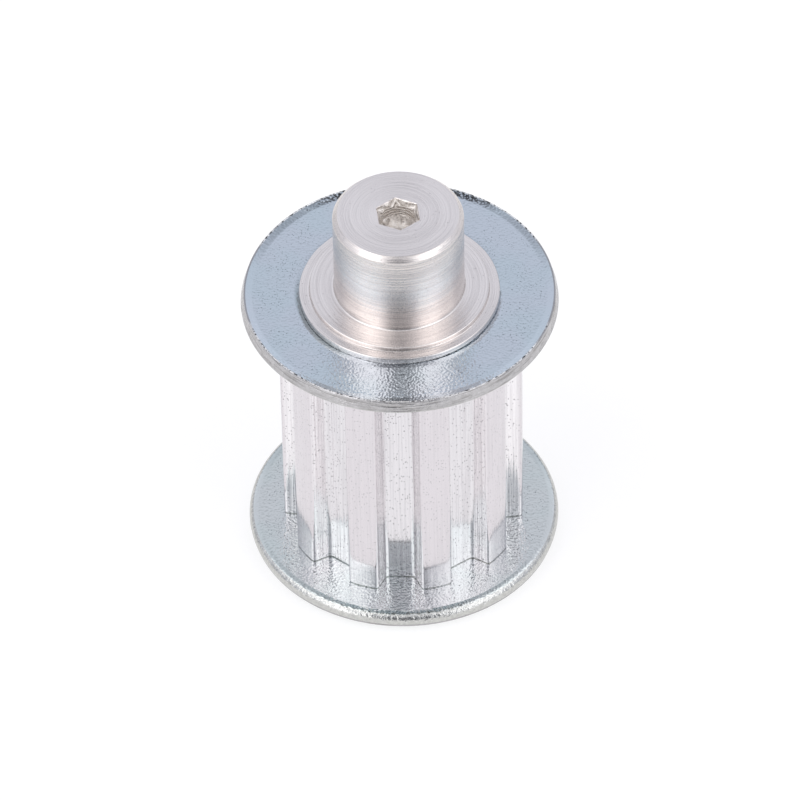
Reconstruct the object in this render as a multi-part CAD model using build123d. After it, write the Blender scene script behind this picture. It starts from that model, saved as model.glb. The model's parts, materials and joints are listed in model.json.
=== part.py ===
from build123d import *
import math
import os

# Timing belt pulley with ten teeth on the 5 mm metric pitch, for a belt 16 mm wide.
#
# The aluminium body is turned and hobbed from bar in one piece: the teeth, a spigot at each end
# of them, and a hub. A flange stamped from plated steel sheet sits on each spigot, against the
# ends of the teeth, and the spigot's rim is rolled over it. Nothing moves, and nothing else holds it.
#
# Millimetres and degrees. The origin is the centre of the plain end face, and +Z runs along the
# axis to the hub. A belt groove faces -Y.

# Overall lengths along the axis
TOTAL_LENGTH = 27.0
HUB_LENGTH = 6.0
BELT_SPACE = 18.0

# Teeth
TOOTH_COUNT = 10
TIP_RADIUS = 15.05 / 2
GROOVE_DEPTH = 1.22
GROOVE_FLOOR_WIDTH = 1.78
FLANK_ANGLE = 25.0
GROOVE_FLOOR_FILLET = 0.4
TOOTH_TIP_FILLET = 0.22
TOOTH_END_CHAMFER = 0.08

# Hub
HUB_RADIUS = 4.0
HUB_CHAMFER = 0.3
HUB_BASE_FILLET = 0.14

# Spigots, and the rims that are rolled over the flanges
SPIGOT_RADIUS = 6.0
ROLLED_RIM_RADIUS = 6.16
ROLLED_RIM_HEIGHT = 0.4
ROLLED_RIM_FILLET = 0.08
END_FACE_RADIUS = 5.5
END_FACE_EDGE_FILLET = 0.08

# Flanges
FLANGE_RADIUS = 9.75
FLANGE_THICKNESS = 0.8
FLANGE_BEND_START = 9.05
FLANGE_BEND_ANGLE = 16.0
FLANGE_BEND_FILLET = 0.5
FLANGE_BELT_SIDE_ROUND = 0.25
FLANGE_OUTER_SIDE_ROUND = 0.06

# The bore of a flange dips on its outer side, where it was punched
BORE_DIP_WIDTH = 0.5
BORE_DIP_DEPTH = 0.06
BORE_DIP_FILLET = 1.5

# The recess that a six-sided drive centre leaves in the hub's end, on a drilled hole
RECESS_ACROSS_FLATS = 2.5
RECESS_WALL_ANGLE = 30.0
RECESS_TURN = 39.0
RECESS_TAPER_DEPTH = 0.85
DRILLED_HOLE_RADIUS = 1.08
DRILLED_HOLE_DEPTH = 1.08
DRILL_POINT_ANGLE = 118.0

# The round centre hole in the plain end
CENTRE_MOUTH_RADIUS = 1.25
CENTRE_PILOT_RADIUS = 0.5
CENTRE_PILOT_DEPTH = 2.2
CENTRE_CONE_ANGLE = 60.0

# Heights that follow from the lengths above
FACE_WIDTH = TOTAL_LENGTH - HUB_LENGTH
TEETH_BOTTOM = (FACE_WIDTH - BELT_SPACE) / 2
TEETH_TOP = TEETH_BOTTOM + BELT_SPACE
MIDDLE = FACE_WIDTH / 2


def turned(*corners):
    """A solid turned about Z from (radius, height, round) corners, each rounded off unless round is 0."""
    section = make_face(Polyline(*[corner[:2] for corner in corners], close=True))
    for radius, height, rounding in corners:
        if rounding:
            corner = section.vertices().sort_by_distance((radius, height, 0))[0]
            section = fillet(corner, rounding)
    return revolve(Plane.XZ * section, Axis.Z)


def cone_depth(radius, included_angle):
    """How deep a cone of this mouth radius and included angle runs to its point."""
    return radius / math.tan(math.radians(included_angle / 2))


def tooth_section():
    """The cross-section of the teeth: a disc less one trapezoidal groove for each tooth."""
    root_radius = TIP_RADIUS - GROOVE_DEPTH
    mouth_radius = TIP_RADIUS + GROOVE_DEPTH
    half_floor = GROOVE_FLOOR_WIDTH / 2
    half_mouth = half_floor + (mouth_radius - root_radius) * math.tan(math.radians(FLANK_ANGLE))
    groove = make_face(
        Polyline(
            (root_radius, -half_floor),
            (mouth_radius, -half_mouth),
            (mouth_radius, half_mouth),
            (root_radius, half_floor),
            close=True,
        )
    )
    grooves = PolarLocations(0, TOOTH_COUNT, start_angle=-90) * groove
    section = Circle(TIP_RADIUS) - grooves
    flank_middle = TIP_RADIUS - GROOVE_DEPTH / 2
    floor_corners = [v for v in section.vertices() if math.hypot(v.X, v.Y) < flank_middle]
    section = fillet(floor_corners, GROOVE_FLOOR_FILLET)
    tip_corners = [v for v in section.vertices() if math.hypot(v.X, v.Y) > flank_middle]
    return fillet(tip_corners, TOOTH_TIP_FILLET)


def teeth():
    """The toothed length between the flanges, with a small chamfer all round both ends."""
    bar = Pos(0, 0, TEETH_BOTTOM) * extrude(tooth_section(), BELT_SPACE)
    end_faces = bar.faces().filter_by(Axis.Z)
    return chamfer(end_faces.edges(), TOOTH_END_CHAMFER)


def rolled_end_corners():
    """Half the section of a spigot: from its middle out over its rolled rim to the raised end face."""
    flange_top = TEETH_TOP + FLANGE_THICKNESS
    rim_top = flange_top + ROLLED_RIM_HEIGHT
    dip_bottom = flange_top - BORE_DIP_DEPTH
    rim_foot = dip_bottom + BORE_DIP_DEPTH * (ROLLED_RIM_RADIUS - SPIGOT_RADIUS) / BORE_DIP_WIDTH
    return [
        (0, MIDDLE, 0),
        (SPIGOT_RADIUS, MIDDLE, 0),
        (SPIGOT_RADIUS, dip_bottom, 0),
        (ROLLED_RIM_RADIUS, rim_foot, 0),
        (ROLLED_RIM_RADIUS, rim_top, ROLLED_RIM_FILLET),
        (END_FACE_RADIUS, rim_top, 0),
        (END_FACE_RADIUS, FACE_WIDTH, END_FACE_EDGE_FILLET),
    ]


def hub_end():
    """The rolled end with the hub on it, filleted at its foot and chamfered at its end."""
    return turned(
        *rolled_end_corners(),
        (HUB_RADIUS, FACE_WIDTH, HUB_BASE_FILLET),
        (HUB_RADIUS, TOTAL_LENGTH - HUB_CHAMFER, 0),
        (HUB_RADIUS - HUB_CHAMFER, TOTAL_LENGTH, 0),
        (0, TOTAL_LENGTH, 0),
    )


def plain_end():
    """The same rolled end at the other end of the teeth, with nothing on its face."""
    return mirror(turned(*rolled_end_corners(), (0, FACE_WIDTH, 0)), Plane.XY.offset(MIDDLE))


def hub_recess():
    """The drilled hole in the hub's end, with the six-sided taper pressed into its mouth."""
    corner_radius = RECESS_ACROSS_FLATS / 2 / math.cos(math.radians(30))
    mouth = Plane.XY.offset(TOTAL_LENGTH) * Rot(0, 0, RECESS_TURN) * RegularPolygon(corner_radius, 6)
    taper = extrude(mouth, -RECESS_TAPER_DEPTH, taper=RECESS_WALL_ANGLE)
    hole_bottom = TOTAL_LENGTH - DRILLED_HOLE_DEPTH
    drilled = turned(
        (0, TOTAL_LENGTH, 0),
        (DRILLED_HOLE_RADIUS, TOTAL_LENGTH, 0),
        (DRILLED_HOLE_RADIUS, hole_bottom, 0),
        (0, hole_bottom - cone_depth(DRILLED_HOLE_RADIUS, DRILL_POINT_ANGLE), 0),
    )
    return drilled + taper


def plain_end_centre():
    """The round centre hole in the plain end: a cone with a small drilled pilot below it."""
    cone_end = cone_depth(CENTRE_MOUTH_RADIUS - CENTRE_PILOT_RADIUS, CENTRE_CONE_ANGLE)
    return turned(
        (0, 0, 0),
        (CENTRE_MOUTH_RADIUS, 0, 0),
        (CENTRE_PILOT_RADIUS, cone_end, 0),
        (CENTRE_PILOT_RADIUS, CENTRE_PILOT_DEPTH, 0),
        (0, CENTRE_PILOT_DEPTH + cone_depth(CENTRE_PILOT_RADIUS, DRILL_POINT_ANGLE), 0),
    )


def pulley_body():
    """The one-piece body: teeth, both rolled ends and the hub, less the two end recesses."""
    return teeth() + hub_end() + plain_end() - hub_recess() - plain_end_centre()


def flange():
    """A stamped flange, flat side down at z = 0, its rim bent up away from the belt.

    The sheared edge is square to the bent rim, so its belt-side corner stands out furthest.
    """
    tilt = math.radians(FLANGE_BEND_ANGLE)
    lost_to_round = FLANGE_BELT_SIDE_ROUND * (math.cos(tilt) + math.sin(tilt) - 1)
    belt_side_corner = FLANGE_RADIUS + lost_to_round
    belt_side_bend = FLANGE_BEND_START + FLANGE_THICKNESS * math.tan(tilt / 2)
    belt_side_rise = (belt_side_corner - belt_side_bend) * math.tan(tilt)
    outer_corner = belt_side_corner - FLANGE_THICKNESS * math.sin(tilt)
    outer_rise = belt_side_rise + FLANGE_THICKNESS * math.cos(tilt)
    return turned(
        (SPIGOT_RADIUS, 0, 0),
        (belt_side_bend, 0, FLANGE_BEND_FILLET),
        (belt_side_corner, belt_side_rise, FLANGE_BELT_SIDE_ROUND),
        (outer_corner, outer_rise, FLANGE_OUTER_SIDE_ROUND),
        (FLANGE_BEND_START, FLANGE_THICKNESS, FLANGE_BEND_FILLET),
        (SPIGOT_RADIUS + BORE_DIP_WIDTH, FLANGE_THICKNESS, BORE_DIP_FILLET),
        (SPIGOT_RADIUS, FLANGE_THICKNESS - BORE_DIP_DEPTH, 0),
    )


def hub_side_flange():
    """The flange at the hub's end of the teeth."""
    return Pos(0, 0, TEETH_TOP) * flange()


def plain_side_flange():
    """The same flange turned over, at the plain end of the teeth."""
    return Pos(0, 0, TEETH_BOTTOM) * Rot(180, 0, 0) * flange()


NODES = {
    "pulley_body": pulley_body,
    "hub_side_flange": hub_side_flange,
    "plain_side_flange": plain_side_flange,
}

os.makedirs("parts", exist_ok=True)
for name, make in NODES.items():
    shape = make()
    export_step(shape, f"parts/{name}.step")
    print(name, round(shape.volume, 2), shape.bounding_box().size)
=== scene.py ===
"""The looks of a timing belt pulley: turned and hobbed aluminium between two zinc-plated flanges.

Each CAD node is replaced by a finer mesh of the same shape, with the turning marks, rough recess
and stamped edges of the real one. Lengths are in millimetres until a mesh is made, in metres.
"""

import json
import math

import bpy
import numpy as np
from mathutils import Matrix, Vector, noise


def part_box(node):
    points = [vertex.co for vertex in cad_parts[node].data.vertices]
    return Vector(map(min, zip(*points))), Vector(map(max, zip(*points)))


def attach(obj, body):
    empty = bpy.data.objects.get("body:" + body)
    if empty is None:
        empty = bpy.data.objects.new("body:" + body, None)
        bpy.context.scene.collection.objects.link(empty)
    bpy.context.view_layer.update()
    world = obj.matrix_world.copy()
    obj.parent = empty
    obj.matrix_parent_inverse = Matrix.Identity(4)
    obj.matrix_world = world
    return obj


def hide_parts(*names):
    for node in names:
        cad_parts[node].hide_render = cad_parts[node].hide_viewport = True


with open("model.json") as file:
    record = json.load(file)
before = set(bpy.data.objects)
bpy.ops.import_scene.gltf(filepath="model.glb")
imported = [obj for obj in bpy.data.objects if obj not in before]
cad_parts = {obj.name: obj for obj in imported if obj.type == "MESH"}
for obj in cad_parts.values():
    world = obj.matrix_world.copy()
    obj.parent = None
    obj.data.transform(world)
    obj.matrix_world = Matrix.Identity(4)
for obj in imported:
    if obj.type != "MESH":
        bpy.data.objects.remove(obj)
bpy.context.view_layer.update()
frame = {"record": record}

MM = 0.001

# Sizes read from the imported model
body_low, body_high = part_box("pulley_body")
upper_low, upper_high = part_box("hub_side_flange")
lower_low, lower_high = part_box("plain_side_flange")
hub_mount = next(m for m in frame["record"]["mounts"] if m["name"] == "hub")
TOTAL_LENGTH = body_high.z / MM
TIP_RADIUS = body_high.x / MM
TEETH_TOP = upper_low.z / MM
TEETH_BOTTOM = lower_high.z / MM
FLANGE_RADIUS = upper_high.x / MM
MIDDLE = (TEETH_TOP + TEETH_BOTTOM) / 2
FACE_TOP = 2 * MIDDLE
FACE_RISE = FACE_TOP - TEETH_TOP
HUB_RADIUS = hub_mount["dims"]["r_mm"]

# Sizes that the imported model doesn't name, as in its source
TOOTH_COUNT = 10
GROOVE_DEPTH = 1.22
GROOVE_FLOOR_WIDTH = 1.78
FLANK_ANGLE = math.radians(25)
GROOVE_FLOOR_FILLET = 0.4
TOOTH_TIP_FILLET = 0.22
TOOTH_END_CHAMFER = 0.08
HUB_CHAMFER = 0.3
HUB_BASE_FILLET = 0.14
SPIGOT_RADIUS = 6.0
ROLLED_RIM_RADIUS = 6.16
ROLLED_RIM_HEIGHT = 0.4
ROLLED_RIM_FILLET = 0.08
END_FACE_RADIUS = 5.5
FLANGE_THICKNESS = 0.8
FLANGE_BEND_START = 9.05
FLANGE_BEND_ANGLE = math.radians(16)
FLANGE_OUTER_SIDE_ROUND = 0.06
BORE_DIP_WIDTH = 0.5
BORE_DIP_DEPTH = 0.06
BORE_DIP_FILLET = 1.5
RECESS_FLAT_RADIUS = 1.25
RECESS_WALL_SLOPE = math.tan(math.radians(30))
RECESS_TURN = math.radians(39)
DRILLED_HOLE_RADIUS = 1.08
DRILLED_HOLE_DEPTH = 1.08
DRILL_POINT_SLOPE = math.tan(math.radians(59))
CENTRE_MOUTH_RADIUS = 1.25
CENTRE_PILOT_RADIUS = 0.5
CENTRE_PILOT_DEPTH = 2.2
CENTRE_CONE_SLOPE = math.tan(math.radians(30))

# Small departures of the real pulley from its source
HUB_EDGE_ROUND = 0.05
FEED_MARK_PITCH = 0.21
END_FACE_EDGE_FILLET = 0.07
ROLLED_RIM_INNER_FILLET = 0.06
RIM_GAP = 0.09
RIM_GAP_ANGLE = math.radians(-15)
RIM_WOBBLE = 0.02
TOOTH_WAVINESS = 0.003
FLANGE_BEND_FILLET = 0.2
FLANGE_EDGE_WAVINESS = 0.004
FLANGE_LIFT = 0.05
FLANGE_LIFT_ANGLE = math.radians(210)
BORE_DRAWN_IN = 0.03
BORE_DRAWN_IN_ANGLE = math.radians(205)

# The upper flange's belt-side corner is nearly square, and the lower one's is worn round
UPPER_BELT_SIDE_ROUND = 0.12
LOWER_BELT_SIDE_ROUND = 0.55

# How far in from a flange's edge its two strips run: the belt side's worn shoulder, and the outer side's
# corner, painted with glints and shade
SHOULDER_WIDTH = 0.55
CORNER_STRIP_WIDTH = 0.11

# Edges bent more than this are shaded as sharp
SHARP_ANGLE = math.radians(32)

# One point for each degree of a body's ring, starting in the middle of the groove that faces -Y
BODY_TURN = 360
FLANGE_TURN = 720
FIRST_ANGLE = math.radians(-90)

# Material slots of the body's mesh, and of a flange's
TURNED, TOOTHED, RECESS = range(3)
PLATED, SHOULDER, EDGE, PAINTED_CORNER = range(4)


# --- Node helpers ---------------------------------------------------------------------------


def set_input(tree, node, name, value):
    """Gives a node's input a value, or links it to another node's output."""
    if isinstance(value, bpy.types.NodeSocket):
        tree.links.new(value, node.inputs[name])
    else:
        node.inputs[name].default_value = value


def add_node(tree, kind, inputs=None, **settings):
    node = tree.nodes.new(kind)
    for name, value in settings.items():
        setattr(node, name, value)
    for name, value in (inputs or {}).items():
        set_input(tree, node, name, value)
    return node


# --- Outlines -------------------------------------------------------------------------------


def rounded(corners, steps):
    """A polyline through (x, y, radius) corners, each turned into an arc of this many steps."""
    points = []
    for index, (x, y, radius) in enumerate(corners):
        here = Vector((x, y))
        if radius == 0:
            points.append(here)
            continue
        before = Vector(corners[index - 1][:2]) - here
        after = Vector(corners[(index + 1) % len(corners)][:2]) - here
        half_corner = before.angle(after) / 2
        middle = (before.normalized() + after.normalized()).normalized()
        centre = here + middle * (radius / math.sin(half_corner))
        start = here + before.normalized() * (radius / math.tan(half_corner)) - centre
        end = here + after.normalized() * (radius / math.tan(half_corner)) - centre
        for step in range(steps + 1):
            points.append(centre + start.slerp(end, step / steps).normalized() * radius)
    return [(p.x, p.y) for p in points]


def divided(points, longest):
    """The same polyline with its long runs cut into stretches no longer than this."""
    made = [points[0]]
    for (x0, y0), (x1, y1) in zip(points, points[1:]):
        count = max(1, math.ceil(math.hypot(x1 - x0, y1 - y0) / longest))
        made += [(x0 + (x1 - x0) * k / count, y0 + (y1 - y0) * k / count) for k in range(1, count + 1)]
    return made


def half_groove():
    """From the middle of a groove's floor to the middle of the next tooth: 18 points with normals."""
    root = TIP_RADIUS - GROOVE_DEPTH
    half_floor = GROOVE_FLOOR_WIDTH / 2
    along = Vector((math.cos(FLANK_ANGLE), math.sin(FLANK_ANGLE)))
    outward = Vector((math.sin(FLANK_ANGLE), -math.cos(FLANK_ANGLE)))
    corner = Vector((root, half_floor))
    floor_end = half_floor - GROOVE_FLOOR_FILLET * (1 - outward.x) / along.x
    floor_centre = Vector((root + GROOVE_FLOOR_FILLET, floor_end))
    flank_start = floor_centre - outward * GROOVE_FLOOR_FILLET

    # The tip fillet touches the flank and the tip circle from inside both
    base = corner - outward * TOOTH_TIP_FILLET
    reach = TIP_RADIUS - TOOTH_TIP_FILLET
    slide = -base.dot(along) + math.sqrt(base.dot(along) ** 2 - base.length_squared + reach**2)
    tip_centre = base + along * slide
    flank_end = tip_centre + outward * TOOTH_TIP_FILLET

    points = [(Vector((root, floor_end * k / 3)), Vector((1, 0))) for k in range(3)]
    for k in range(4):
        turn = (math.pi / 2 - FLANK_ANGLE) * k / 4
        normal = Vector((math.cos(turn), -math.sin(turn)))
        points.append((floor_centre - normal * GROOVE_FLOOR_FILLET, normal))
    points += [(flank_start.lerp(flank_end, k / 3), outward) for k in range(3)]
    last = tip_centre.normalized()
    for k in range(4):
        normal = outward.slerp(last, k / 4)
        points.append((tip_centre + normal * TOOTH_TIP_FILLET, normal))
    land_start = math.atan2(tip_centre.y, tip_centre.x)
    land_end = math.pi / TOOTH_COUNT
    for k in range(4):
        turn = land_start + (land_end - land_start) * k / 4
        normal = Vector((math.cos(turn), math.sin(turn)))
        points.append((normal * TIP_RADIUS, normal))
    return points


def tooth_outline():
    """The toothed section all round, as an array of points and an array of outward normals."""
    half = half_groove()
    to_land = Vector((math.cos(math.pi / TOOTH_COUNT), math.sin(math.pi / TOOTH_COUNT)))
    pitch = half + [(to_land * TIP_RADIUS, to_land)]
    mirrored = [(Vector((p.x, -p.y)), Vector((n.x, -n.y))) for p, n in reversed(half[1:])]
    places, normals = [], []
    for tooth in range(TOOTH_COUNT):
        turn = FIRST_ANGLE + tooth * math.tau / TOOTH_COUNT
        first = Matrix.Rotation(turn, 2)
        second = Matrix.Rotation(turn + math.tau / TOOTH_COUNT, 2)
        for matrix, stretch in ((first, pitch), (second, mirrored)):
            places += [matrix @ p for p, n in stretch]
            normals += [matrix @ n for p, n in stretch]
    return np.array(places), np.array(normals)


# --- Meshes ---------------------------------------------------------------------------------


def turn_angles(count):
    return FIRST_ANGLE + np.arange(count) * (math.tau / count)


def circle(radius, height, count=BODY_TURN):
    """A ring of points. The radius and height may be arrays, with a value for each point."""
    angles = turn_angles(count)
    heights = np.full(count, height)
    return np.column_stack([radius * np.cos(angles), radius * np.sin(angles), heights])


def mesh_from_rings(name, rings, slots, closed=False):
    """One closed surface from rings with equal counts. Single points at its ends close it as fans."""
    starts = np.cumsum([0] + [len(ring) for ring in rings])
    count = max(len(ring) for ring in rings)
    index = np.arange(count)
    following = (index + 1) % count
    faces, face_slots = [], []
    pairs = list(zip(range(len(rings) - 1), range(1, len(rings))))
    if closed:
        pairs.append((len(rings) - 1, 0))
    for (a, b), slot in zip(pairs, slots):
        if len(rings[a]) == 1:
            band = np.column_stack([np.full(count, starts[a]), starts[b] + following, starts[b] + index])
        elif len(rings[b]) == 1:
            band = np.column_stack([starts[a] + index, starts[a] + following, np.full(count, starts[b])])
        else:
            band = np.column_stack(
                [starts[a] + index, starts[a] + following, starts[b] + following, starts[b] + index]
            )
        faces += band.tolist()
        face_slots += [slot] * count
    mesh = bpy.data.meshes.new(name)
    mesh.from_pydata((np.concatenate(rings) * MM).tolist(), [], faces)
    mesh.polygons.foreach_set("material_index", face_slots)
    mesh.polygons.foreach_set("use_smooth", [True] * len(faces))
    mesh.set_sharp_from_angle(angle=SHARP_ANGLE)
    mesh.update()
    return mesh


def add_piece(name, mesh, materials, node):
    """Shows a mesh in place of a CAD node, riding where it rides."""
    piece = bpy.data.objects.new(name, mesh)
    bpy.context.scene.collection.objects.link(piece)
    for material in materials:
        mesh.materials.append(material)
    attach(piece, "root")
    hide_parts(node)


def roughened(ring, amount, scale, seed):
    """A ring with each point moved in or out by smooth noise."""
    moved = []
    for x, y, z in ring:
        push = noise.noise(Vector((x, y, z)) * scale + Vector((seed, 0, 0)))
        radius = math.hypot(x, y)
        factor = 1 + amount * push / radius
        moved.append((x * factor, y * factor, z + amount * 0.5 * push))
    return np.array(moved)


def recess_radius(depth):
    """The hub recess's radius all round at this depth: six sloping flats, or the drilled hole."""
    angles = turn_angles(BODY_TURN) - RECESS_TURN
    from_flat = (angles % (math.pi / 3)) - math.pi / 6
    flats = (RECESS_FLAT_RADIUS - depth * RECESS_WALL_SLOPE) / np.cos(from_flat)
    return np.maximum(flats, DRILLED_HOLE_RADIUS)


def recess_rings():
    """From the drill point at the bottom of the hub's recess up to its six-sided mouth."""
    bottom = TOTAL_LENGTH - DRILLED_HOLE_DEPTH
    point_depth = DRILLED_HOLE_RADIUS / DRILL_POINT_SLOPE
    rings = [np.array([[0, 0, bottom - point_depth]])]
    for step in range(1, 9):
        share = step / 8
        ring = circle(DRILLED_HOLE_RADIUS * share, bottom - point_depth * (1 - share))
        rings.append(roughened(ring, amount=0.02, scale=7, seed=3))
    for step in range(1, 25):
        depth = DRILLED_HOLE_DEPTH * (1 - step / 25)
        ring = circle(recess_radius(depth), TOTAL_LENGTH - depth)
        rings.append(roughened(ring, amount=0.016, scale=6, seed=9))
    return rings


def mouth_to_rim_rings():
    """Over the hub's flat end, from the recess's mouth to the chamfer."""
    mouth = recess_radius(0)
    rim = HUB_RADIUS - HUB_CHAMFER - 0.03
    shares = (0, 0.03, 0.15, 0.4, 0.7, 1)
    return [circle(mouth * (1 - share) + rim * share, TOTAL_LENGTH) for share in shares]


def hub_rings():
    """Down the hub's chamfer and its wall, which carries the feed marks of the turning tool."""
    chamfer = rounded(
        [
            (HUB_RADIUS - HUB_CHAMFER - 0.1, TOTAL_LENGTH, 0),
            (HUB_RADIUS - HUB_CHAMFER, TOTAL_LENGTH, HUB_EDGE_ROUND),
            (HUB_RADIUS, TOTAL_LENGTH - HUB_CHAMFER, HUB_EDGE_ROUND),
            (HUB_RADIUS, TOTAL_LENGTH - HUB_CHAMFER - 0.1, 0),
        ],
        steps=3,
    )
    rings = [circle(radius, height) for radius, height in chamfer[1:]]
    wall_top = TOTAL_LENGTH - HUB_CHAMFER - 0.12
    wall_bottom = FACE_TOP + HUB_BASE_FILLET
    count = int((wall_top - wall_bottom) / 0.05)
    for step in range(count):
        height = wall_top - (wall_top - wall_bottom) * step / count
        depth = 0.0006 + 0.0012 * abs(noise.noise(Vector((height * 2.1, 4.0, 0))))
        ridge = abs(math.sin(math.pi * height / FEED_MARK_PITCH))
        rings.append(circle(HUB_RADIUS - depth * (1 - ridge), height))
    for step in range(5):
        turn = math.pi / 2 * step / 4
        radius = HUB_RADIUS + HUB_BASE_FILLET * (1 - math.cos(turn))
        rings.append(circle(radius, FACE_TOP + HUB_BASE_FILLET * (1 - math.sin(turn))))
    return rings


def rolled_end_profile():
    """Radius and height above the teeth, from the raised end face out over the rolled rim to the spigot."""
    rim_top = FLANGE_THICKNESS + ROLLED_RIM_HEIGHT
    dip_bottom = FLANGE_THICKNESS - BORE_DIP_DEPTH
    rim_foot = dip_bottom + BORE_DIP_DEPTH * (ROLLED_RIM_RADIUS - SPIGOT_RADIUS) / BORE_DIP_WIDTH
    return rounded(
        [
            (END_FACE_RADIUS - 0.4, FACE_RISE, 0),
            (END_FACE_RADIUS, FACE_RISE, END_FACE_EDGE_FILLET),
            (END_FACE_RADIUS + 0.03, rim_top, ROLLED_RIM_INNER_FILLET),
            (ROLLED_RIM_RADIUS, rim_top, ROLLED_RIM_FILLET),
            (ROLLED_RIM_RADIUS, rim_foot, 0.02),
            (SPIGOT_RADIUS, dip_bottom, 0),
            (SPIGOT_RADIUS, 0, 0),
        ],
        steps=4,
    )


def rolled_end_rings(base, side):
    """A rolled end's rings, facing up (+1) or down (-1). The rim isn't quite pressed home on one side."""
    open_side = np.maximum(0, np.cos(turn_angles(BODY_TURN) - RIM_GAP_ANGLE)) ** 2
    rings = []
    for radius, rise in rolled_end_profile():
        gap = RIM_GAP * open_side if SPIGOT_RADIUS < radius and rise < FLANGE_THICKNESS else 0
        wobble = 0.0 if radius < END_FACE_RADIUS else RIM_WOBBLE
        ring = circle(radius - wobble / 2, base + side * (rise + gap))
        rings.append(roughened(ring, wobble, scale=0.9, seed=21))
    return rings


def tooth_rings():
    """The teeth from top to bottom, chamfered at both ends and very slightly uneven along them."""
    places, normals = tooth_outline()
    inset = places - normals * TOOTH_END_CHAMFER
    span = TEETH_TOP - TEETH_BOTTOM
    rings = [np.column_stack([inset, np.full(len(inset), TEETH_TOP)])]
    steps = 30
    for step in range(steps + 1):
        height = TEETH_TOP - TOOTH_END_CHAMFER - (span - 2 * TOOTH_END_CHAMFER) * step / steps
        pushes = [noise.noise(Vector((x * 1.3, y * 1.3, height * 0.4))) for x, y in places]
        uneven = places + normals * (np.array(pushes)[:, None] * TOOTH_WAVINESS - 0.002)
        rings.append(np.column_stack([uneven, np.full(len(places), height)]))
    rings.append(np.column_stack([inset, np.full(len(inset), TEETH_BOTTOM)]))
    return rings


def plain_centre_rings():
    """From the plain end face into its round centre hole, down to the pilot's point."""
    cone_depth = (CENTRE_MOUTH_RADIUS - CENTRE_PILOT_RADIUS) / CENTRE_CONE_SLOPE
    point_height = CENTRE_PILOT_DEPTH + CENTRE_PILOT_RADIUS / DRILL_POINT_SLOPE
    path = [
        (CENTRE_MOUTH_RADIUS + 0.03, 0),
        (CENTRE_MOUTH_RADIUS, 0.01),
        (CENTRE_PILOT_RADIUS, cone_depth),
        (CENTRE_PILOT_RADIUS, CENTRE_PILOT_DEPTH),
        (0.05, point_height - 0.03),
    ]
    places = divided(path, 0.12)
    rings = [roughened(circle(*place), amount=0.01, scale=6, seed=5) for place in places]
    rings[0][:, 2] = 0
    rings.append(np.array([[0, 0, point_height]]))
    return rings


def body_mesh():
    """The whole aluminium body as one closed surface, from one end recess's point to the other's."""
    parts = [(recess_rings(), RECESS), (mouth_to_rim_rings(), TURNED), (hub_rings(), TURNED)]
    parts.append((rolled_end_rings(TEETH_TOP, 1), TURNED))
    parts.append((tooth_rings(), TOOTHED))
    parts.append((rolled_end_rings(TEETH_BOTTOM, -1)[::-1], TURNED))
    parts.append((plain_centre_rings(), TURNED))
    rings, slots = [], []
    for made, slot in parts:
        rings += made
        slots += [slot] * len(made)
    return mesh_from_rings("turned_body", rings, slots[1:])


def flange_profile(belt_side_round):
    """The flange's section as radius and height above its flat belt side, and the reach of its edge.

    The rim is bent up, and its sheared edge is square to it. Reach is measured along the bent rim.
    """
    along = Vector((math.cos(FLANGE_BEND_ANGLE), math.sin(FLANGE_BEND_ANGLE)))
    belt_side_corner = FLANGE_RADIUS + belt_side_round * (along.x + along.y - 1)
    belt_side_bend = FLANGE_BEND_START + FLANGE_THICKNESS * math.tan(FLANGE_BEND_ANGLE / 2)
    belt_side_rise = (belt_side_corner - belt_side_bend) * math.tan(FLANGE_BEND_ANGLE)
    outer_corner = belt_side_corner - FLANGE_THICKNESS * along.y
    outer_rise = belt_side_rise + FLANGE_THICKNESS * along.x
    points = rounded(
        [
            (SPIGOT_RADIUS + 0.005, 0, 0.02),
            (belt_side_bend, 0, FLANGE_BEND_FILLET),
            (belt_side_corner, belt_side_rise, belt_side_round),
            (outer_corner, outer_rise, FLANGE_OUTER_SIDE_ROUND),
            (outer_corner - along.x * CORNER_STRIP_WIDTH, outer_rise - along.y * CORNER_STRIP_WIDTH, 0),
            (FLANGE_BEND_START, FLANGE_THICKNESS, FLANGE_BEND_FILLET),
            (SPIGOT_RADIUS + BORE_DIP_WIDTH, FLANGE_THICKNESS, BORE_DIP_FILLET),
            (SPIGOT_RADIUS + 0.005, FLANGE_THICKNESS - BORE_DIP_DEPTH, 0),
        ],
        steps=6,
    )
    edge_reach = Vector((belt_side_corner, belt_side_rise)).dot(along)
    return divided(points, 0.4), edge_reach


def flange_slot(radius, rise, edge_reach):
    """The material slot at this place in a flange's section."""
    short_of_edge = edge_reach - radius * math.cos(FLANGE_BEND_ANGLE) - rise * math.sin(FLANGE_BEND_ANGLE)
    on_outer_side = rise > FLANGE_THICKNESS
    if short_of_edge < 0.015:
        return EDGE
    if on_outer_side and short_of_edge < CORNER_STRIP_WIDTH - 0.01:
        return PAINTED_CORNER
    if not on_outer_side and short_of_edge < SHOULDER_WIDTH:
        return SHOULDER
    return PLATED


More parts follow.
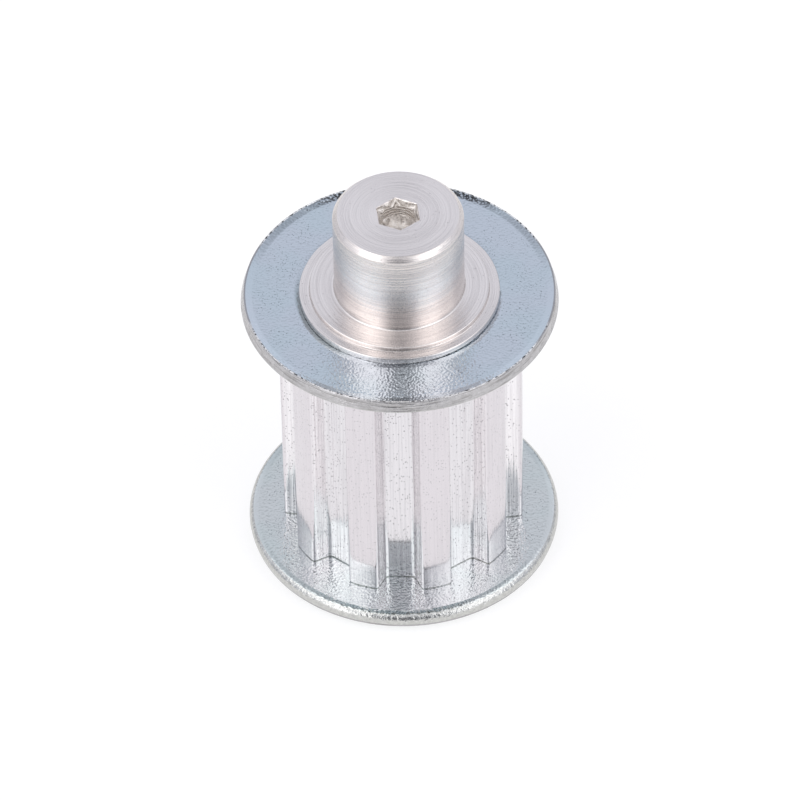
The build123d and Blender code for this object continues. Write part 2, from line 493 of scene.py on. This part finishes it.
def flange_mesh(name, base, side, belt_side_round, seed):
    """A flange standing on this height, its outer side facing up (+1) or down (-1)."""
    rings, slots = [], []
    points, edge_reach = flange_profile(belt_side_round)
    angles = turn_angles(FLANGE_TURN)
    for radius, rise in points:
        near_rim = max(0.0, (radius - FLANGE_BEND_START) / (FLANGE_RADIUS - FLANGE_BEND_START))
        wobble = [
            noise.noise(Vector((math.cos(a) * 30, math.sin(a) * 30, rise * 6 + seed))) for a in angles
        ]
        radii = radius - near_rim * FLANGE_EDGE_WAVINESS * (1 + np.array(wobble))
        # The stamping stands a little higher at its front left than at its front right
        lift = near_rim * FLANGE_LIFT * np.cos(angles - FLANGE_LIFT_ANGLE)
        # The punch has drawn the bore's outer edge in further on the left
        on_outer_side = rise > FLANGE_THICKNESS / 2
        near_bore = max(0.0, 1 - (radius - SPIGOT_RADIUS) / BORE_DIP_WIDTH) if on_outer_side else 0.0
        left_share = np.maximum(0, np.cos(angles - BORE_DRAWN_IN_ANGLE)) ** 6
        drawn_in = near_bore * BORE_DRAWN_IN * left_share
        rings.append(circle(radii, base + side * (rise - drawn_in) + lift, FLANGE_TURN))
        slots.append(flange_slot(radius, rise, edge_reach))
    if side > 0:
        rings.reverse()
        slots = slots[-2::-1] + slots[-1:]
    return mesh_from_rings(name, rings, slots, closed=True)


# --- Materials ------------------------------------------------------------------------------


class Shader:
    """A material's nodes, added one call at a time. Inputs may be values or other nodes' outputs."""

    def __init__(self, name):
        self.material = bpy.data.materials.new(name)
        self.material.use_nodes = True
        self.tree = self.material.node_tree
        self.tree.nodes.clear()
        self.surface = self.add("ShaderNodeBsdfPrincipled")
        output = self.add("ShaderNodeOutputMaterial")
        self.tree.links.new(self.surface.outputs[0], output.inputs[0])

    def add(self, kind, inputs=None, **settings):
        return add_node(self.tree, kind, inputs, **settings)

    def finish(self, **inputs):
        for name, value in inputs.items():
            set_input(self.tree, self.surface, name.replace("_", " "), value)
        return self.material

    def math(self, operation, a, b=0.0):
        return self.add("ShaderNodeMath", {0: a, 1: b}, operation=operation).outputs[0]

    def place(self):
        """The point's place in millimetres, as a vector."""
        coordinates = self.add("ShaderNodeTexCoord").outputs["Object"]
        scaled = self.add("ShaderNodeVectorMath", {0: coordinates, "Scale": 1 / MM}, operation="SCALE")
        return scaled.outputs[0]

    def split(self, vector):
        return self.add("ShaderNodeSeparateXYZ", {0: vector}).outputs

    def stretched(self, vector, x, y, z):
        """The vector with each of its parts multiplied, to squeeze or stretch a texture along it."""
        return self.add("ShaderNodeVectorMath", {0: vector, 1: (x, y, z)}, operation="MULTIPLY").outputs[0]

    def axis_distance(self, place):
        flat = self.stretched(place, 1, 1, 0)
        return self.add("ShaderNodeVectorMath", {0: flat}, operation="LENGTH").outputs["Value"]

    def noise(self, vector, scale, detail=2.0, roughness=0.5):
        made = self.add(
            "ShaderNodeTexNoise",
            {"Vector": vector, "Scale": scale, "Detail": detail, "Roughness": roughness},
        )
        return made.outputs["Fac"]

    def spread(self, value, low, high, to_low, to_high):
        """value taken from the range low..high to the range to_low..to_high, and kept inside it."""
        made = self.add("ShaderNodeMapRange", {0: value, 1: low, 2: high, 3: to_low, 4: to_high})
        return made.outputs[0]

    def mix(self, share, a, b):
        return self.add("ShaderNodeMix", {0: share, 6: a, 7: b}, data_type="RGBA").outputs[2]

    def bump(self, height, depth_mm, after=None, strength=1.0):
        inputs = {"Height": height, "Distance": depth_mm * MM, "Strength": strength}
        if after is not None:
            inputs["Normal"] = after
        return self.add("ShaderNodeBump", inputs).outputs[0]

    def specks(self, place, per_mm, size, share):
        """1 inside small round specks, one in some of the cells of a grid, and 0 elsewhere."""
        cells = self.add("ShaderNodeTexVoronoi", {"Vector": place, "Scale": per_mm})
        near = self.spread(cells.outputs["Distance"], size * per_mm * 0.5, size * per_mm, 1, 0)
        pick = self.math("LESS_THAN", self.split(cells.outputs["Color"])[0], share)
        return self.math("MULTIPLY", near, pick)

    def around_axis(self):
        """The direction round the pulley's axis, which turning marks follow."""
        return self.add("ShaderNodeTangent", direction_type="RADIAL", axis="Z").outputs[0]


def turned_aluminium():
    """Bright bare aluminium with rings left by the turning tool, on faces and round walls alike."""
    made = Shader("turned_aluminium")
    place = made.place()
    x, y, z = made.split(place)
    # Rings keep one value of this all round, on the end faces, the walls and the chamfers
    feed = made.math("SUBTRACT", z, made.math("MULTIPLY", made.axis_distance(place), 1.3))
    rings = made.add("ShaderNodeCombineXYZ", {0: feed, 1: x, 2: y}).outputs[0]
    lines = made.noise(made.stretched(rings, 10, 0.07, 0.07), 1.0, 1, 0.6)
    marks = made.math("SINE", made.math("MULTIPLY", made.math("ADD", feed, lines), 34))
    bands = made.noise(made.stretched(rings, 0.7, 0.25, 0.25), 1.0, 1)
    mark_depth = made.spread(bands, 0.4, 0.6, 0.2, 0.55)
    steepness = made.math("ABSOLUTE", made.split(made.add("ShaderNodeNewGeometry").outputs["Normal"])[2])
    on_flat = made.spread(steepness, 0.8, 0.98, 0, 1)
    strength = made.spread(on_flat, 0, 1, 1.0, 0.75)
    grain = made.noise(place, 24, 1)
    cloud = made.noise(place, 1.1, 3)
    speck_patches = made.spread(made.noise(place, 0.6, 1), 0.45, 0.6, 0.15, 1)
    speck = made.math("MULTIPLY", made.specks(place, 4.0, 0.045, 0.55), speck_patches)
    tint = made.mix(made.spread(cloud, 0.35, 0.65, 0, 1), (0.78, 0.725, 0.695, 1), (0.81, 0.76, 0.725, 1))
    # Painted light: faces that look up or down are painted lighter than the walls
    tint = made.mix(on_flat, tint, (0.87, 0.82, 0.795, 1))
    deep = made.spread(lines, 0.34, 0.5, 0.32, 0)
    fine = made.math("MULTIPLY", made.spread(marks, 0.3, 0.9, 0, 1), mark_depth)
    valleys = made.math("MULTIPLY", made.math("MAXIMUM", deep, fine), strength)
    worn = made.mix(valleys, tint, (0.4, 0.37, 0.37, 1))
    return made.finish(
        Base_Color=made.mix(made.math("MULTIPLY", speck, 0.7), worn, (0.22, 0.2, 0.2, 1)),
        Metallic=1.0,
        Roughness=made.spread(grain, 0.35, 0.65, 0.15, 0.32),
        Anisotropic=0.7,
        Anisotropic_Rotation=0.25,
        Tangent=made.around_axis(),
        Normal=made.bump(lines, 0.02, strength=strength),
    )


def toothed_aluminium():
    """Cut teeth: satin, with faint streaks along them and small dark pits, mostly in the grooves."""
    made = Shader("toothed_aluminium")
    place = made.place()
    streaks = made.noise(made.stretched(place, 1, 1, 0.02), 7.0, 3)
    grain = made.noise(place, 22, 1)
    radius = made.axis_distance(place)
    root = TIP_RADIUS - GROOVE_DEPTH
    in_groove = made.spread(radius, TIP_RADIUS - 0.3, TIP_RADIUS - 0.05, 1, 0)
    on_flank = made.spread(radius, root + 0.1, root + 0.4, 0, 1)
    small_pits = made.specks(made.stretched(place, 1, 1, 0.7), 6.5, 0.042, 0.6)
    large_pits = made.specks(place, 2.6, 0.06, 0.25)
    pit_depth = made.spread(in_groove, 0, 1, 0.4, 0.85)
    pits = made.math("MULTIPLY", made.math("MAXIMUM", small_pits, large_pits), pit_depth)
    # Painted light: the flanks are painted lighter than the groove floor
    groove_tint_lit_flanks = made.mix(on_flank, (0.775, 0.755, 0.77, 1), (0.9, 0.875, 0.885, 1))
    tint = made.mix(in_groove, (0.725, 0.69, 0.71, 1), groove_tint_lit_flanks)
    depth_share = made.spread(in_groove, 0, 1, 0.5, 1)
    dull_streaks = made.math("MULTIPLY", made.spread(streaks, 0.4, 0.55, 0.2, 0), depth_share)
    tint = made.mix(dull_streaks, tint, (0.4, 0.38, 0.4, 1))
    # Painted shade, brownish and patchy, in the joints between the teeth's ends and the flanges
    from_middle = made.math("ABSOLUTE", made.math("SUBTRACT", made.split(place)[2], MIDDLE))
    half_length = (TEETH_TOP - TEETH_BOTTOM) / 2
    at_ends = made.spread(from_middle, half_length - TOOTH_END_CHAMFER * 1.3, half_length, 0, 1)
    joint_shade = made.spread(made.noise(place, 0.9, 2), 0.4, 0.6, 0.1, 0.65)
    tint = made.mix(made.math("MULTIPLY", at_ends, joint_shade), tint, (0.2, 0.15, 0.1, 1))
    return made.finish(
        Base_Color=made.mix(pits, tint, (0.16, 0.15, 0.16, 1)),
        Metallic=1.0,
        Roughness=made.spread(grain, 0.4, 0.6, 0.04, 0.24),
        Anisotropic=0.5,
        Tangent=made.around_axis(),
        Normal=made.bump(streaks, 0.03, strength=made.spread(in_groove, 0, 1, 0.35, 1)),
    )


def recess_aluminium():
    """The torn metal of the pressed and drilled recess: warmer, ringed by the drill and patchy."""
    made = Shader("recess_aluminium")
    place = made.place()
    torn = made.noise(place, 8.0, 3, 0.6)
    feed = made.math("SUBTRACT", made.split(place)[2], made.math("MULTIPLY", made.axis_distance(place), 0.8))
    wander = made.math("ADD", feed, made.math("MULTIPLY", made.noise(place, 2.0, 1), 0.2))
    rings = made.math("SINE", made.math("MULTIPLY", wander, 31))
    worn = made.math("MULTIPLY", made.spread(rings, -0.2, 0.9, 0, 0.9), made.spread(torn, 0.4, 0.6, 0.3, 1))
    tint = made.mix(made.spread(torn, 0.35, 0.65, 0, 1), (0.78, 0.72, 0.66, 1), (0.95, 0.90, 0.85, 1))
    return made.finish(
        Base_Color=made.mix(worn, tint, (0.26, 0.22, 0.19, 1)),
        Metallic=0.5,
        Roughness=made.spread(torn, 0.3, 0.7, 0.42, 0.25),
        Normal=made.bump(rings, 0.02, made.bump(torn, 0.05)),
    )


def zinc_pits(made, place, radius):
    """How dark the pits are: fine ones in patches and a few larger ones, with hardly any on the rim."""
    patches = made.spread(made.noise(place, 0.5, 1), 0.38, 0.62, 0.2, 1)
    on_flat = made.spread(radius, FLANGE_BEND_START - 0.3, FLANGE_BEND_START, 1, 0.15)
    small_pits = made.math("MULTIPLY", made.specks(place, 7.0, 0.042, 0.75), patches)
    large_pits = made.math("MULTIPLY", made.specks(place, 2.2, 0.065, 0.25), 0.9)
    pits = made.math("MULTIPLY", made.math("MAXIMUM", small_pits, large_pits), on_flat)
    return made.math("MULTIPLY", pits, 0.85)


def with_painted_rim_shade(made, plated, y, on_rim, grit):
    """The plating's colour, with painted shade on the bent rim towards the back, and painted shade almost as
    dark as black, broken up by the grit, at the very back.
    """
    dull = made.math("MULTIPLY", made.spread(y, 2.0, 4.4, 0, 0.3), made.spread(y, 5.8, 7.0, 1, 0))
    plated = made.mix(made.math("MULTIPLY", dull, on_rim), plated, (0.25, 0.29, 0.31, 1))
    black = made.math("MULTIPLY", made.spread(y, 7.2, 8.2, 0, 0.9), made.spread(grit, 0.5, 0.58, 1, 0))
    return made.mix(made.math("MULTIPLY", black, on_rim), plated, (0.05, 0.05, 0.05, 1))


def with_painted_bore_shade(made, plated, place, radius):
    """The plating's colour, with painted shade round the bore on the left, where the punch has drawn it in.
    """
    left = made.add("ShaderNodeVectorMath", {0: place, 1: (-0.91, -0.42, 0)}, operation="DOT_PRODUCT")
    on_left = made.spread(left.outputs["Value"], 4.8, 5.8, 0, 0.55)
    bore_shade = made.math("MULTIPLY", made.spread(radius, 6.3, 6.5, 1, 0), on_left)
    return made.mix(bore_shade, plated, (0.2, 0.25, 0.25, 1))


def zinc_plating(name, tint):
    """Bright zinc on stamped sheet: faintly blue, gritty at a tenth of a millimetre, with dark pits."""
    made = Shader(name)
    place = made.place()
    y = made.split(place)[1]
    radius = made.axis_distance(place)
    grit = made.noise(place, 6.5, 0.5)
    grain = made.noise(place, 20, 1)
    dent = made.noise(place, 1.6, 1)
    # The bent rim's plating is coarse at the back
    on_rim = made.spread(radius, FLANGE_BEND_START - 0.1, FLANGE_BEND_START + 0.1, 0, 1)
    at_back = made.spread(y, 6.8, 8.4, 0, 1)
    coarseness = made.spread(made.math("MULTIPLY", on_rim, at_back), 0, 1, 0.37, 1)
    lilac = (tint[0] * 1.04, tint[1], tint[2] * 1.01, 1)
    hue = made.spread(made.noise(place, 0.3, 2), 0.4, 0.6, 0, 1)
    plated = made.mix(hue, (*tint, 1), lilac)
    # Painted shade on the bent rim towards the back
    plated = with_painted_rim_shade(made, plated, y, on_rim, grit)
    # Painted shade round the bore on the left
    plated = with_painted_bore_shade(made, plated, place, radius)
    return made.finish(
        Base_Color=made.mix(zinc_pits(made, place, radius), plated, (0.14, 0.15, 0.16, 1)),
        Metallic=1.0,
        Roughness=made.spread(grain, 0.4, 0.6, 0.03, 0.12),
        Normal=made.bump(grit, 0.06, made.bump(dent, 0.006), coarseness),
    )


def burnished_shoulder():
    """The flange's belt-side corner, rounded by the shears and rubbed grey and bright."""
    made = Shader("burnished_shoulder")
    place = made.place()
    grit = made.noise(place, 5.0, 2, 0.6)
    tint = made.mix(made.spread(grit, 0.35, 0.65, 0, 1), (0.51, 0.51, 0.49, 1), (0.61, 0.61, 0.585, 1))
    return made.finish(
        Base_Color=tint,
        Metallic=1.0,
        Roughness=made.spread(made.noise(place, 20, 1), 0.4, 0.6, 0.08, 0.2),
        Normal=made.bump(grit, 0.05),
    )


def plated_edge(name, shade):
    """The sheared edge of the flange under its plating: greyer, rougher and scored along its length."""
    made = Shader(name)
    place = made.place()
    x, y, z = made.split(place)
    torn = made.noise(place, 3.0, 3, 0.6)
    across = made.math("SUBTRACT", z, made.math("MULTIPLY", made.axis_distance(place), 0.3))
    lengthwise = made.add("ShaderNodeCombineXYZ", {0: across, 1: x, 2: y}).outputs[0]
    scores = made.noise(made.stretched(lengthwise, 9, 0.5, 0.5), 1.0, 2, 0.6)
    # A shade below 1 makes a darker copy of this edge: painted shade
    dull = [shade * part for part in (0.445, 0.435, 0.435)]
    bright = [shade * part for part in (0.535, 0.525, 0.53)]
    tint = made.mix(made.spread(torn, 0.35, 0.65, 0, 1), (*dull, 1), (*bright, 1))
    dark = made.spread(scores, 0.36, 0.5, 0.5, 0)
    return made.finish(
        Base_Color=made.mix(dark, tint, (0.2, 0.19, 0.18, 1)),
        Metallic=1.0,
        Roughness=made.spread(torn, 0.3, 0.7, 0.3, 0.18),
        Normal=made.bump(scores, 0.04, made.bump(torn, 0.03)),
    )


def corner_painted_glints():
    """The flange's sheared outer corner, painted: a mid-grey line of painted shade at the sides, and grains
    of painted glints and painted shade at the front and back.
    """
    made = Shader("corner_painted_glints")
    place = made.place()
    grains = made.noise(place, 5.0, 2, 0.6)
    from_side = made.math("ABSOLUTE", made.split(place)[1])
    wander = made.math("MULTIPLY", made.noise(place, 0.6, 1), 6)
    # Painted shade as a plain grey line at the sides; near-white painted glints and near-black painted shade
    # in grains at the front and back
    stretches = made.spread(made.math("ADD", from_side, wander), 6, 8, 0, 1)
    glints_and_shade_grains = made.mix(made.spread(grains, 0.4, 0.5, 0, 1), (0.08, 0.08, 0.08, 1), (0.93, 0.93, 0.92, 1))
    return made.finish(
        Base_Color=made.mix(stretches, (0.38, 0.38, 0.39, 1), glints_and_shade_grains),
        Metallic=1.0,
        Roughness=0.25,
        Normal=made.bump(grains, 0.1, strength=made.spread(stretches, 0, 1, 0.15, 1)),
    )


# --- Stage ----------------------------------------------------------------------------------

# How bright the studio is at each elevation, where 1 looks white, and its faintly blue colour
SKY = [(0, 0.3), (15, 0.95), (30, 0.85), (45, 0.84), (57, 0.64), (70, 0.5), (90, 0)]
SKY_COLOUR = (0.95, 0.98, 1.08)

# Soft patches of light, all of one size: azimuth from the front towards +X, elevation, level
SOFT_LIGHTS = [
    (-46, 12, 0.84),
    (50, 12, 0.72),
    (-25, 20, 0.8),
    (-46, 32, 0.33),
    (50, 32, 0.6),
    (-62, 45, 0.53),
    (64, 45, 0.44),
    (-88, 50, 0.59),
    (90, 50, 0.61),
    (-45, 64, 0.93),
    (47, 64, 0.46),
    (24, 45, 0.19),
]
SOFT_LIGHT_HALF_WIDTH = 9
SOFT_LIGHT_EDGE = 14
SOFT_LIGHT_COLOUR = (1.0, 0.985, 0.97)

# Where the camera and its stand block the light: azimuth, elevation, half width, soft edge, level
DARK_PATCH = (1.5, 24, 9, 20, 0.2)


def add_floor():
    """A plain pale table that glows a little, as a light table does, so that shadows stay faint."""
    size = 3.0
    corners = [(-size, -size, 0), (size, -size, 0), (size, size, 0), (-size, size, 0)]
    mesh = bpy.data.meshes.new("floor")
    mesh.from_pydata(corners, [], [(0, 1, 2, 3)])
    made = Shader("pale_table")
    grain = made.noise(made.place(), 0.02, 2)
    made.finish(
        Base_Color=made.mix(grain, (0.31, 0.31, 0.31, 1), (0.34, 0.34, 0.34, 1)),
        Roughness=0.9,
        Emission_Color=(1.0, 0.995, 1.0, 1),
        Emission_Strength=0.72,
    )
    mesh.materials.append(made.material)
    floor = bpy.data.objects.new("floor", mesh)
    bpy.context.scene.collection.objects.link(floor)


def direction(azimuth, elevation):
    """A unit vector. Azimuth 0 points to -Y, the front, and 90 to +X."""
    a, e = math.radians(azimuth), math.radians(elevation)
    return Vector((math.sin(a) * math.cos(e), -math.cos(a) * math.cos(e), math.sin(e)))


def add_surroundings():
    """Soft light from all round: bright low down, dark overhead, and dim where the camera stands."""
    world = bpy.data.worlds.new("studio")
    bpy.context.scene.world = world
    world.use_nodes = True
    tree = world.node_tree
    tree.nodes.clear()
    sky = add_node(tree, "ShaderNodeTexCoord").outputs["Generated"]

    def patch(azimuth, elevation, half_width, soft_edge, outside, inside):
        """A round patch of the sky at one level, fading to another level outside it."""
        aim = tuple(direction(azimuth, elevation))
        cosine = add_node(tree, "ShaderNodeVectorMath", {0: sky, 1: aim}, operation="DOT_PRODUCT")
        edge = math.cos(math.radians(half_width + soft_edge))
        full = math.cos(math.radians(half_width))
        inputs = {0: cosine.outputs["Value"], 1: edge, 2: full, 3: outside, 4: inside}
        made = add_node(tree, "ShaderNodeMapRange", inputs, interpolation_type="SMOOTHSTEP")
        return made.outputs[0]

    height = add_node(tree, "ShaderNodeSeparateXYZ", {0: sky}).outputs[2]
    ramp = add_node(tree, "ShaderNodeValToRGB", {0: height})
    stops = ramp.color_ramp.elements
    for index, (elevation, level) in enumerate(SKY):
        position = math.sin(math.radians(elevation))
        stop = stops[index] if index < len(stops) else stops.new(position)
        stop.position = position
        stop.color = (*(level * part for part in SKY_COLOUR), 1)
    colour = ramp.outputs[0]
    for azimuth, elevation, level in SOFT_LIGHTS:
        glow = patch(azimuth, elevation, SOFT_LIGHT_HALF_WIDTH, SOFT_LIGHT_EDGE, 0, level)
        inputs = {0: SOFT_LIGHT_COLOUR, "Scale": glow}
        tinted = add_node(tree, "ShaderNodeVectorMath", inputs, operation="SCALE")
        inputs = {0: colour, 1: tinted.outputs[0]}
        added = add_node(tree, "ShaderNodeVectorMath", inputs, operation="ADD")
        colour = added.outputs[0]
    azimuth, elevation, half_width, soft_edge, level = DARK_PATCH
    strength = patch(azimuth, elevation, half_width, soft_edge, 1.0, level)
    background = add_node(tree, "ShaderNodeBackground", {"Color": colour, "Strength": strength})
    output = add_node(tree, "ShaderNodeOutputWorld")
    tree.links.new(background.outputs[0], output.inputs[0])


def add_camera():
    """The photograph's view: long lens, 46 degrees down, a little right of the front and rolled."""
    azimuth = 2.6
    elevation = 45.71
    distance = 0.4542
    roll = -1.17
    aim_side = -0.108
    aim_height = 10.85
    aim = Matrix.Rotation(math.radians(azimuth), 3, "Z") @ Vector((aim_side * MM, 0, aim_height * MM))
    back = direction(azimuth, elevation)
    data = bpy.data.cameras.new("camera")
    data.sensor_width = 36
    data.lens = 328.8
    data.clip_start = 0.01
    camera = bpy.data.objects.new("camera", data)
    camera.location = aim + back * distance
    camera.rotation_mode = "QUATERNION"
    turn = back.to_track_quat("Z", "Y")
    camera.rotation_quaternion = turn @ Matrix.Rotation(math.radians(roll), 3, "Z").to_quaternion()
    bpy.context.scene.collection.objects.link(camera)
    bpy.context.scene.camera = camera


# --- The scene ------------------------------------------------------------------------------

shoulder = burnished_shoulder()
corner_glints = corner_painted_glints()
upper_zinc = zinc_plating("upper_plating", (0.565, 0.64, 0.69))
upper_plating = [upper_zinc, shoulder, plated_edge("upper_edge", 1.0), corner_glints]
lower_zinc = zinc_plating("lower_plating", (0.635, 0.685, 0.67))
# The lower flange's edge is a darker copy of the upper one's: painted shade
lower_plating = [lower_zinc, shoulder, plated_edge("lower_edge", 0.86), corner_glints]
aluminium = [turned_aluminium(), toothed_aluminium(), recess_aluminium()]
add_piece("turned_body", body_mesh(), aluminium, "pulley_body")
upper = flange_mesh("upper_flange", TEETH_TOP, 1, UPPER_BELT_SIDE_ROUND, seed=0)
add_piece("upper_flange", upper, upper_plating, "hub_side_flange")
lower = flange_mesh("lower_flange", TEETH_BOTTOM, -1, LOWER_BELT_SIDE_ROUND, seed=40)
add_piece("lower_flange", lower, lower_plating, "plain_side_flange")

add_floor()
add_surroundings()
add_camera()
bpy.context.scene.view_settings.view_transform = "Standard"
